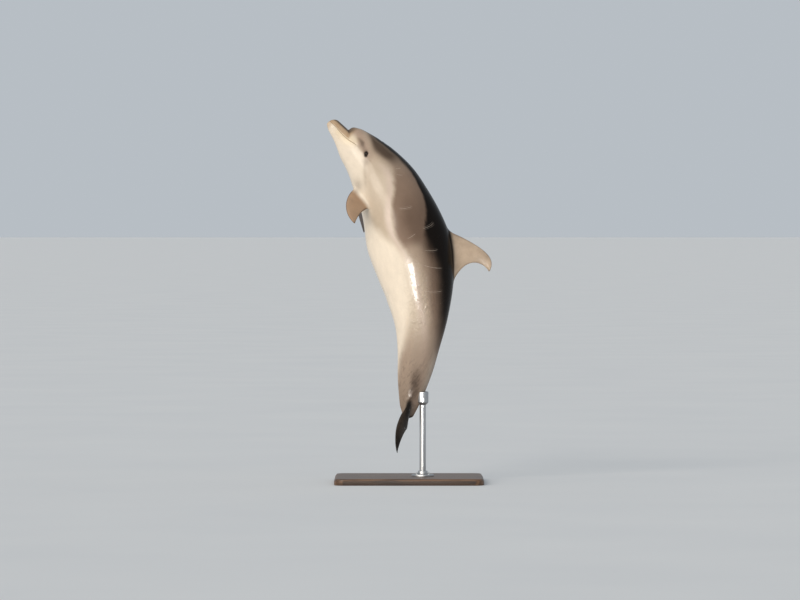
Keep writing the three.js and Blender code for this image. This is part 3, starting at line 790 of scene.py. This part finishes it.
def dots(scale, size, where):
    spots = wet.add("TexVoronoi", {"Vector": wet.place, "Scale": scale}, "Distance")
    return spots.rise(0.03, size, 1, 0) * where


fleck = dots(42, 0.1, (cloud * 0.8 + mottle).rise(0.2, 0.8))
freckle = dots(31, 0.12, (cloud - mottle).rise(0.3, 0.9))
paint((scars * 0.55 + fleck * 0.35).sum("MINIMUM", 0.8), SCAR)
paint(freckle * 0.35, HEAD_BROWN)
shade = mottle * 0.05 + flow * 0.05 + speck * 0.03 + 0.97
paint(1, wet.add("CombineColor", {"Red": shade, "Green": shade, "Blue": shade}), "MULTIPLY")

# Water film: thinner on the dark parts and the beak, and broken into beads along the upper flank.
dark = (cape + crown * 0.7 + rim + fluke).sum("MINIMUM", 1)
wet_band = along.peak(1400, 480) * fact("flank").peak(60, 190)
beads = noise(52, 2, 0.6)
gloss = 0.55 - dark * 0.48 + wet_band * beads.rise(-0.35, 0.35, -0.3, 0.5)
film = (noise(30, 2) * 2 + beads * 2.2) * wet_band
wet.feed(Base_Color=wet.tint, Roughness=mottle * 0.04 + speck * 0.05 + cloud * 0.03 - wet_band * 0.18 + 0.25,
         Coat_Weight=gloss * (0.85 + mottle * 0.2) * along.rise(90, 280, 0.4, 1),
         Normal=wet.bump(mottle * 0.25 + speck * 0.16 - scars * 0.8 + film * 3, 0.001, 0.6))
skin.materials.append(wet.material)

# ---- Eyes ----
# Dark brown glass balls, as a taxidermist sets them, one in each socket behind the lids. A wide pupil
# shows black, the iris barely lighter, and a wet cornea takes the light.
CORNEA = 0.9  # how far the cornea stands out, in millimetres
PUPIL_BLACK, IRIS_BROWN, IRIS_RIM = (0.002, 0.0016, 0.0015), (0.026, 0.013, 0.007), (0.01, 0.006, 0.0045)
EYE_WHITE = 0.06, 0.036, 0.028  # brown too
glass = Finish("eye_glass", Roughness=0.3, IOR=1.2, Coat_Weight=0.35, Coat_Roughness=0.03, Coat_IOR=1.36)
polar = glass.fact("polar")
fibres = glass.noise(900, 2)
glass.tint = PUPIL_BLACK
glass.paint((polar + fibres * 0.8).rise(17, 24), IRIS_BROWN)
glass.paint((polar + fibres * 1.2).rise(38, 44), IRIS_RIM)
glass.paint(polar.rise(47, 56), EYE_WHITE)
glass.feed(Base_Color=glass.tint)


def stacked(rings):
    """Points and faces of a closed solid through rings of equal length, or with one point at an end."""
    count = len(rings[1])
    starts = np.cumsum([0] + [len(ring) for ring in rings])
    sides = []
    for one, two, ring, after in zip(starts, starts[1:], rings, rings[1:]):
        for k in range(count):
            j = (k + 1) % count
            low = (one + k, one + j) if len(ring) > 1 else (one,)
            sides.append(tuple(map(int, low + ((two + j, two + k) if len(after) > 1 else (two,)))))
    for start, ring in ((0, rings[0]), (int(starts[-2]), rings[-1])):
        if len(ring) > 1:
            sides.append(tuple(range(start, start + count)))
    return [p for ring in rings for p in ring], sides


for side, name in ((-1, "left"), (1, "right")):
    axis, centre = eye_axis[side], eye_centre[side]
    across = unit(np.cross(axis, (0, 0, 1)))
    upward = np.cross(across, axis)
    tilts = np.linspace(0, 180, 37)
    rings = [[centre + axis * (EYE_RADIUS + CORNEA)]]
    for tilt in tilts[1:-1]:
        bow = math.radians(tilt)
        swell = EYE_RADIUS + CORNEA * hump(tilt, 0, 34)
        spokes = (across * math.cos(turn) + upward * math.sin(turn) for turn in 2 * np.pi * np.arange(48) / 48)
        rings.append([centre + swell * (axis * math.cos(bow) + spoke * math.sin(bow)) for spoke in spokes])
    rings.append([centre - axis * EYE_RADIUS])
    ball, sides = stacked(rings)
    ball = new_piece("eye_ball_" + name, np.array(ball) / 1000, sides, "eye", "eye_" + name)
    mark(ball, "polar", np.repeat(tilts, [len(ring) for ring in rings]))
    ball.materials.append(glass.material)

# ---- Base ----
# A thick board of dark stained oak, glued up from long staves, with a moulded top edge and a satin
# varnish. It stands flat on the floor.
BASE_LENGTH, BASE_WIDTH, BASE_HEIGHT, BASE_CORNER = 1.04, 0.82, 0.045, 0.07
STAVE = 0.1025  # eight staves make the board's width
MOULDING = 0.012
OAK_DARK, OAK_LIGHT, OAK_STAIN = (0.062, 0.03, 0.014), (0.19, 0.098, 0.046), (0.06, 0.031, 0.018)
GLUE_LINE = 0.012, 0.007, 0.004


def stand_piece(name, rings, finish, slot, *nodes, smooth=40):
    mesh = new_piece(name, *stacked(rings), slot, *nodes)
    mesh.set_sharp_from_angle(angle=math.radians(smooth))
    mesh.materials.append(finish.material)


def board_outline(inset, z):
    corner = BASE_CORNER - inset
    ring = []
    for quarter, (x, y) in enumerate(((1, 1), (-1, 1), (-1, -1), (1, -1))):
        for k in range(25):
            turn = math.pi / 2 * (quarter + k / 24)
            ring.append((x * (BASE_LENGTH / 2 - BASE_CORNER) + corner * math.cos(turn),
                         y * (BASE_WIDTH / 2 - BASE_CORNER) + corner * math.sin(turn), z))
    return ring


board_rings = [board_outline(*step) for step in (
    (0.004, 0), (0.001, 0.001), (0, 0.003), (0, 0.03), (0.0012, 0.0315), (0.005, 0.032), (0.0054, 0.033))]
board_rings += [board_outline(0.0054 + MOULDING * (1 - math.cos(t)), 0.033 + MOULDING * math.sin(t))
                for t in np.linspace(0.1, math.pi / 2, 9)]
board_rings += [board_outline(0.03, BASE_HEIGHT)]
oak = Finish("stained_oak", Roughness=0.5, Coat_Weight=0.12, Coat_Roughness=0.3)
staves = oak.sideways() / STAVE + 20
stave = staves.sum("FLOOR")
joint = abs(staves - stave - 0.5).rise(0.485, 0.5)
pick = oak.add("TexWhiteNoise", {"W": stave}, "Value", noise_dimensions="1D")
shift = oak.add("CombineXYZ", {"X": pick * 9, "Y": pick * 3})
moved = oak.add("VectorMath", {0: oak.place, 1: shift}, "Vector", operation="ADD")
figure = (oak.noise(3.4, 6, 0.55, at=oak.stretch((1, 14, 9), moved)) * 7).sum("SINE") * 0.5 + 0.5
pores = oak.noise(9, 4, 0.7, at=oak.stretch((1, 60, 60), moved))
oak.tint = OAK_DARK
oak.paint(figure * 0.7 + pores.rise(-0.4, 0.9) * 0.3, OAK_LIGHT)
oak.paint(pick * 0.4, OAK_STAIN)
oak.paint(joint * 0.7, GLUE_LINE)
oak.feed(Base_Color=oak.tint, Roughness=pores * 0.1 + 0.46,
         Normal=oak.bump(pores * 0.4 + figure * 0.3 - joint * 2, 0.0004, 0.6))
stand_piece("stand_base_board", board_rings, oak, "stand_wood", "stand_base", smooth=28)

# ---- Post ----
# A turned steel flange is bolted to the board, and a rod rises from its collar to a cup that holds the
# tail stock from behind. All of it is brushed stainless steel, the cup lined in rubber.
ROD_X = 0.096
FLANGE_FOOT, ROD_FOOT, CUP_FOOT, LINER_FOOT = 45.3, 59.6, 545, 626  # heights of the pieces' undersides, mm


def lathe(foot, *outline):
    """Rings round the post's axis through (radius, height above the foot) in millimetres."""
    turns = 2 * np.pi * np.arange(96) / 96
    return [[(ROD_X + radius / 1000 * math.cos(turn), radius / 1000 * math.sin(turn), (foot + rise) / 1000)
             for turn in turns] for radius, rise in outline]


def brushed(name, scale, tint):
    """Steel with fine brush marks, stretched by `scale` along each axis."""
    steel = Finish(name, Metallic=1, Roughness=0.44)
    lines = steel.noise(8, 5, 0.7, at=steel.stretch(scale))
    smear = steel.noise(14, 3)
    steel.feed(Base_Color=steel.blend(lines.rise(-1, 1), tuple(c * 0.82 for c in tint), tint),
               Roughness=lines * 0.05 + smear * 0.05 + 0.44, Normal=steel.bump(lines, 0.0001, 0.5))
    return steel


flange_steel = brushed("flange_steel", (12, 12, 260), (0.49, 0.495, 0.5))
rod_steel = brushed("rod_steel", (6, 6, 340), (0.51, 0.515, 0.52))
cup_steel = brushed("cup_steel", (8, 8, 300), (0.46, 0.465, 0.475))
rubber = Finish("liner_rubber", Base_Color=(0.02, 0.02, 0.021, 1), Roughness=0.7)
rubber.feed(Normal=rubber.bump(rubber.noise(500, 3), 0.0003, 0.5), Roughness=rubber.noise(60, 3) * 0.06 + 0.68)
stand_piece("stand_flange_disc", lathe(FLANGE_FOOT,
    (10, 0), (76.5, 0), (78, 1.5), (78, 10), (77.2, 12.2), (75.5, 13.4), (73, 14), (36, 14), (10, 14)),
    flange_steel, "stand_steel", "stand_flange")
stand_piece("stand_rod_post", lathe(ROD_FOOT,
    (10, 0), (32.5, 0), (34, 1.5), (34, 20.4), (32.5, 22.6), (30, 23.4), (23.2, 24.2), (22, 25.4),
    (22, 483.9), (20.8, 485.1), (10, 485.1)), rod_steel, "stand_steel", "stand_rod")
stand_piece("stand_cup_holder", lathe(CUP_FOOT,
    (10, 0), (24.5, 0), (26.2, 1), (38.5, 15), (39.7, 17), (40, 19.5), (40, 87.5), (39.2, 89.8),
    (37.5, 91), (35.5, 90.5), (35, 85), (10, 85)), cup_steel, "stand_steel", "stand_cup")
stand_piece("stand_cup_liner", lathe(LINER_FOOT,
    (10, 0), (34.6, 0), (34.6, 9), (33.5, 10.6), (30, 11), (10, 11)), rubber, "stand_steel")

# Four hexagon bolts on plain washers hold the flange, evenly spaced on a circle.
BOLT_SIZES = {"Count": 4, "Circle": 0.058, "Head Radius": 0.009, "Head Height": 0.0055, "Washer Radius": 0.0105,
              "Washer Height": 0.0015, "Foot": 0.0596}
bolt_tree = bpy.data.node_groups.new("flange_bolts", "GeometryNodeTree")
bolt_tree.interface.new_socket("Geometry", in_out="OUTPUT", socket_type="NodeSocketGeometry")
sockets = {name: bolt_tree.interface.new_socket(name, in_out="INPUT", socket_type="NodeSocket" + (
    "Int" if name == "Count" else "Float")) for name in BOLT_SIZES}
bolter = Nodes(bolt_tree)
group = bolt_tree.nodes.new("NodeGroupInput").outputs
count, circle, head_radius, head_height, washer_radius, washer_height, foot = (
    Tone(bolter, group[name]) for name in BOLT_SIZES)


def shaped(kind, shape=None, **inputs):
    """What a geometry node makes; a shape goes in at its first socket."""
    inputs = {key.replace("_", " "): value for key, value in inputs.items()}
    return bolter.add(kind, inputs if shape is None else {0: shape, **inputs}, family="Geometry")


def vector(**parts):
    return bolter.add("CombineXYZ", parts)


body_height = head_height * 0.72
washer = shaped("MeshCylinder", Vertices=32, Radius=washer_radius, Depth=washer_height)
head = shaped("MeshCylinder", Vertices=6, Radius=head_radius, Depth=body_height)
crown = shaped("MeshCone", Vertices=6, Radius_Top=head_radius * 0.8, Radius_Bottom=head_radius,
               Depth=head_height * 0.28)
joined = bolt_tree.nodes.new("GeometryNodeJoinGeometry")
for part, height in ((washer, washer_height * 0.5), (head, washer_height + body_height * 0.5),
                     (crown, washer_height + body_height)):
    bolt_tree.links.new(shaped("Transform", part, Translation=vector(Z=height)).socket, joined.inputs[0])
spin = bolter.add("RandomValue", {2: 0, 3: 1, "Seed": 7}, 1, "Function", data_type="FLOAT")
spots = shaped("Transform", shaped("MeshCircle", Vertices=count, Radius=circle), Rotation=(0, 0, math.pi / 4))
bolts = shaped("InstanceOnPoints", spots, Instance=Tone(bolter, joined.outputs[0]), Rotation=vector(Z=spin))
bolts = shaped("RealizeInstances", shaped("Transform", bolts, Translation=vector(X=ROD_X, Z=foot)))
bolts = shaped("SetMaterial", bolts, Material=flange_steel.material)
bolt_tree.links.new(bolts.socket, bolt_tree.nodes.new("NodeGroupOutput").inputs[0])
maker = put("bolt_maker", bpy.data.meshes.new("bolt_maker"))
modifier = maker.modifiers.new("bolts", "NODES")
modifier.node_group = bolt_tree
for name, value in BOLT_SIZES.items():
    modifier[sockets[name].identifier] = value
bolt_mesh = bpy.data.meshes.new_from_object(maker.evaluated_get(bpy.context.evaluated_depsgraph_get()))
bolt_mesh.name = "stand_bolts"
bpy.data.objects.remove(maker)
declare(put("stand_bolts", bolt_mesh), "stand_steel", *(f"stand_bolt_{number}" for number in (1, 2, 3, 4)))

# ---- Room ----
# A plain pale floor under soft studio light, and a long lens from the animal's left side.
paint_finish = Finish("floor_paint", Roughness=0.85)
paint_finish.feed(Base_Color=paint_finish.blend(paint_finish.noise(0.6, 2) * 0.5 + 0.5,
                                                (0.72, 0.725, 0.73), (0.77, 0.77, 0.765)))
spots, tiles = [], [(0, 1, 2, 3)]
for size in (4, 40, 400, 4000, 24000):
    ring = len(spots)
    spots += [(x * size, y * size, 0) for x, y in ((-1, -1), (1, -1), (1, 1), (-1, 1))]
    for k, after in ((0, 1), (1, 2), (2, 3), (3, 0)) if ring else ():
        tiles.append((ring - 4 + k, ring + k, ring + after, ring - 4 + after))
floor_mesh = bpy.data.meshes.new("floor")
floor_mesh.from_pydata(spots, [], tiles)
floor_mesh.materials.append(paint_finish.material)
put("floor", floor_mesh)


def aim(thing, place, target):
    """Puts a lamp or the camera at its place and turns it to its target."""
    thing.location = place
    thing.rotation_euler = (Vector(target) - thing.location).to_track_quat("-Z", "Y").to_euler()
    return thing


def hang(name, kind, place, target, matt=True, **settings):
    """A lamp out of the camera's sight, which lights only the gloss if it isn't for matt."""
    lamp = bpy.data.lights.new(name, kind)
    for key, value in settings.items():
        setattr(lamp, key, value)
    light = aim(put(name, lamp), place, target)
    light.visible_camera, light.visible_diffuse = False, matt


hang("key", "SUN", (-4.4, -7, 4), (0, 0, 1.35), energy=2.27, angle=math.radians(36), color=(1, 0.93, 0.83))
hang("flank_strip", "AREA", (-0.18, -3.2, 0.5), (0.05, -0.2, 1.2), matt=False, shape="RECTANGLE", size=0.66,
     size_y=1.15, spread=math.radians(44), energy=7, color=(1, 0.97, 0.92))
hang("belly_fill", "AREA", (-0.5, -3.2, 0.6), (0, -0.2, 1.2), shape="RECTANGLE", size=0.9,
     size_y=0.9, spread=math.radians(50), energy=1.5, color=(1, 0.96, 0.9))
world = bpy.data.worlds.new("room")
scene = bpy.context.scene
scene.world = world
world.use_nodes = True
sky = world.node_tree.nodes["Background"].inputs
sky["Color"].default_value, sky["Strength"].default_value = (0.72, 0.78, 0.84, 1), 0.66
scene.view_settings.view_transform = "Standard"

lens = bpy.data.cameras.new("camera")
lens.lens, lens.sensor_width = 200, 36
lens.clip_start, lens.clip_end = 0.5, 60000
scene.camera = aim(put("camera", lens), (-0.063, -31.1, 1.719), (-0.063, 0, 1.278))
